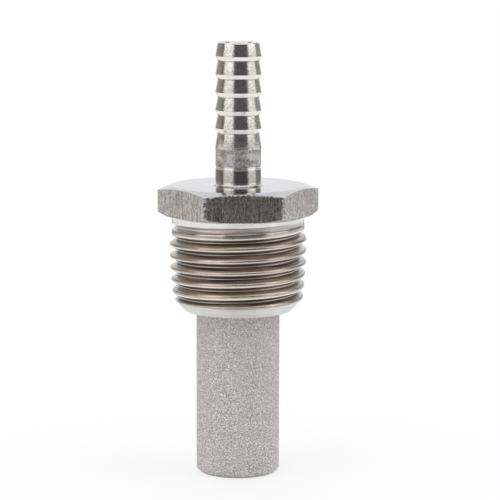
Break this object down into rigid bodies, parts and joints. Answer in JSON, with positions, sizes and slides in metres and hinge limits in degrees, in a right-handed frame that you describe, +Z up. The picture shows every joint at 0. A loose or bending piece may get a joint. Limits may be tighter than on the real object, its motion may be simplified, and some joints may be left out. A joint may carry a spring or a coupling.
{
  "type": "inline aeration stone",
  "caption": "Turned metal fitting with a hose barb, hexagon and taper pipe thread, holding a porous sintered metal cup that breaks gas into fine bubbles.",
  "frame": {"origin": "centre of the porous cup's flat foot, on which the part stands", "axes": "+Z up along the common axis from the foot to the hose barb's nose, -Y out through one flat of the hexagon"},
  "size_m": [0.0246, 0.0212, 0.066],
  "materials": {
    "turned_steel": "turned and polished stainless steel, hexagon flats left as drawn bar",
    "sintered_steel": "matt sintered stainless steel with fine open pores"
  },
  "bodies": {
    "root": {"fitting_body": "turned_steel", "porous_stone": "sintered_steel"}
  },
  "joints": []
}
